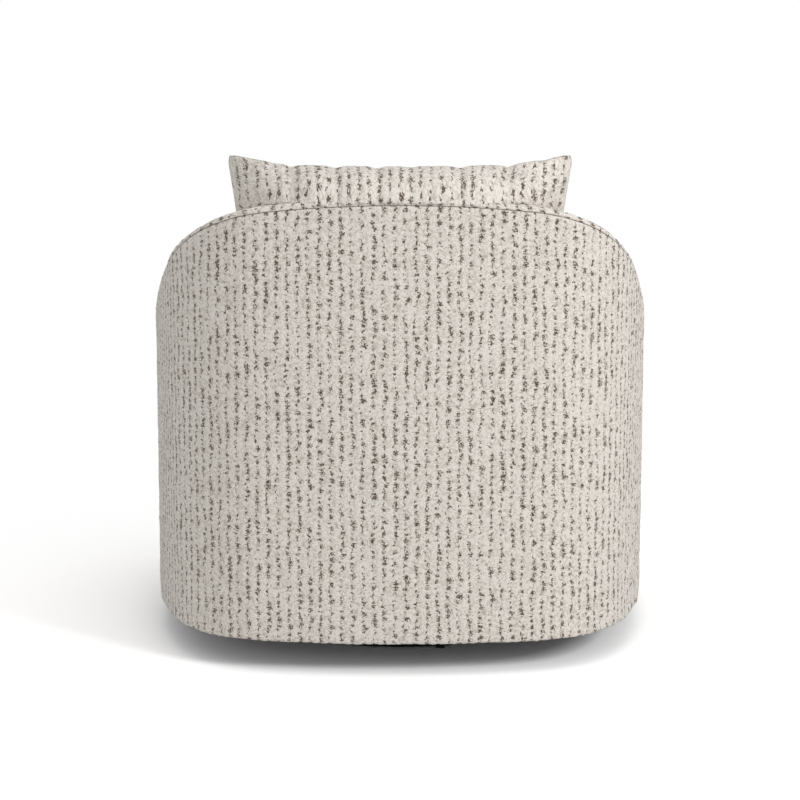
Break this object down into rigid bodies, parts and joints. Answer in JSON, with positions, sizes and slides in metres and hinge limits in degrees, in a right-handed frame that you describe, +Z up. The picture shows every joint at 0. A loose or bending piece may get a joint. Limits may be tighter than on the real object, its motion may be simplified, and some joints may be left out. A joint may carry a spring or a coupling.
{
  "type": "swivel rocker chair",
  "caption": "Upholstered barrel chair on a swivel ring base, rocking on a sprung pivot, with a loose seat cushion and a loose back pillow.",
  "frame": {"origin": "on the floor, on the swivel axis at the middle of the ring base", "axes": "+Z up along the swivel axis, -Y out of the front of the seat, +X to the right of someone who faces the back of the chair from the front"},
  "size_m": [0.828, 0.82, 0.8166],
  "materials": {
    "boucle_cover": "matte",
    "black_steel": "satin",
    "black_plastic": "matte",
    "black_rubber": "matte",
    "zinc_steel": "satin",
    "ball_steel": "polished",
    "bearing_brass": "satin",
    "spring_steel": "satin",
    "frame_wood": "matte",
    "wadding": "matte",
    "tack_board": "matte",
    "foam": "matte",
    "lining_cloth": "matte",
    "deck_felt": "matte",
    "dust_cloth": "matte",
    "zip_tape": "satin",
    "pillow_filling": "matte"
  },
  "bodies": {
    "base": {"base_ring": "black_steel", "floor_glides": "black_plastic", "base_arms": "black_steel", "bearing_lower_race": "zinc_steel", "lower_race_bolts": "zinc_steel", "king_bolt": "zinc_steel", "king_nut": "zinc_steel"},
    "bearing_set": {"bearing_cage": "bearing_brass", "bearing_balls": "ball_steel"},
    "turntable": {"bearing_upper_race": "zinc_steel", "upper_race_bolts": "zinc_steel", "rocker_cradle": "black_steel", "pivot_bushes": "black_plastic", "rock_bumpers": "black_rubber", "lower_spring_cups": "zinc_steel", "rocker_springs": "spring_steel"},
    "chair": {"upper_spring_cups": "zinc_steel", "mechanism_rails": "black_steel", "rocker_brackets": "black_steel", "spring_plate": "black_steel", "pivot_pins": "zinc_steel", "pivot_nuts": "zinc_steel", "front_cross_rail": "frame_wood", "rear_cross_rail": "frame_wood", "rail_bolts": "zinc_steel", "rail_nuts": "zinc_steel", "bottom_hoop": "frame_wood", "seat_hoop": "frame_wood", "front_seat_rail": "frame_wood", "lower_posts": "frame_wood", "upper_posts": "frame_wood", "top_rail": "frame_wood", "corner_blocks": "frame_wood", "seat_springs": "spring_steel", "spring_clips": "zinc_steel", "outside_cover": "boucle_cover", "outer_wadding": "wadding", "tack_board": "tack_board", "front_apron_cover": "boucle_cover", "front_padding": "foam", "inside_padding": "foam", "roll_padding": "foam", "arm_front_padding": "foam", "inside_cover": "boucle_cover", "arm_front_covers": "boucle_cover", "deck_cover": "lining_cloth", "deck_pad": "deck_felt", "dust_cover": "dust_cloth"},
    "seat_cushion": {"seat_cushion_cover": "boucle_cover", "seat_cushion_core": "foam", "seat_cushion_zip": "zip_tape"},
    "back_pillow": {"back_pillow_cover": "boucle_cover", "back_pillow_insert": "pillow_filling"}
  },
  "joints": [
    {"name": "swivel", "type": "hinge", "parent": "base", "child": "turntable", "pos_m": [0, 0, 0.024], "axis": [0, 0, 1], "continuous": true},
    {"name": "bearing_roll", "type": "hinge", "parent": "base", "child": "bearing_set", "pos_m": [0, 0, 0.024], "axis": [0, 0, 1], "continuous": true},
    {"name": "rock", "type": "hinge", "parent": "turntable", "child": "chair", "pos_m": [0, 0, 0.1], "axis": [-1, 0, 0], "range_deg": [-4, 6], "stiffness_Nm_per_rad": 900, "deforming": ["rocker_springs"]},
    {"name": "seat_cushion_lift", "type": "slide", "parent": "chair", "child": "seat_cushion", "axis": [0, 0, 1], "range_m": [0, 0.32]},
    {"name": "back_pillow_lift", "type": "slide", "parent": "seat_cushion", "child": "back_pillow", "axis": [0, 0, 1], "range_m": [0, 0.35]}
  ],
  "couplings": [
    {"joint": "bearing_roll", "follows": "swivel", "ratio": 0.5}
  ]
}
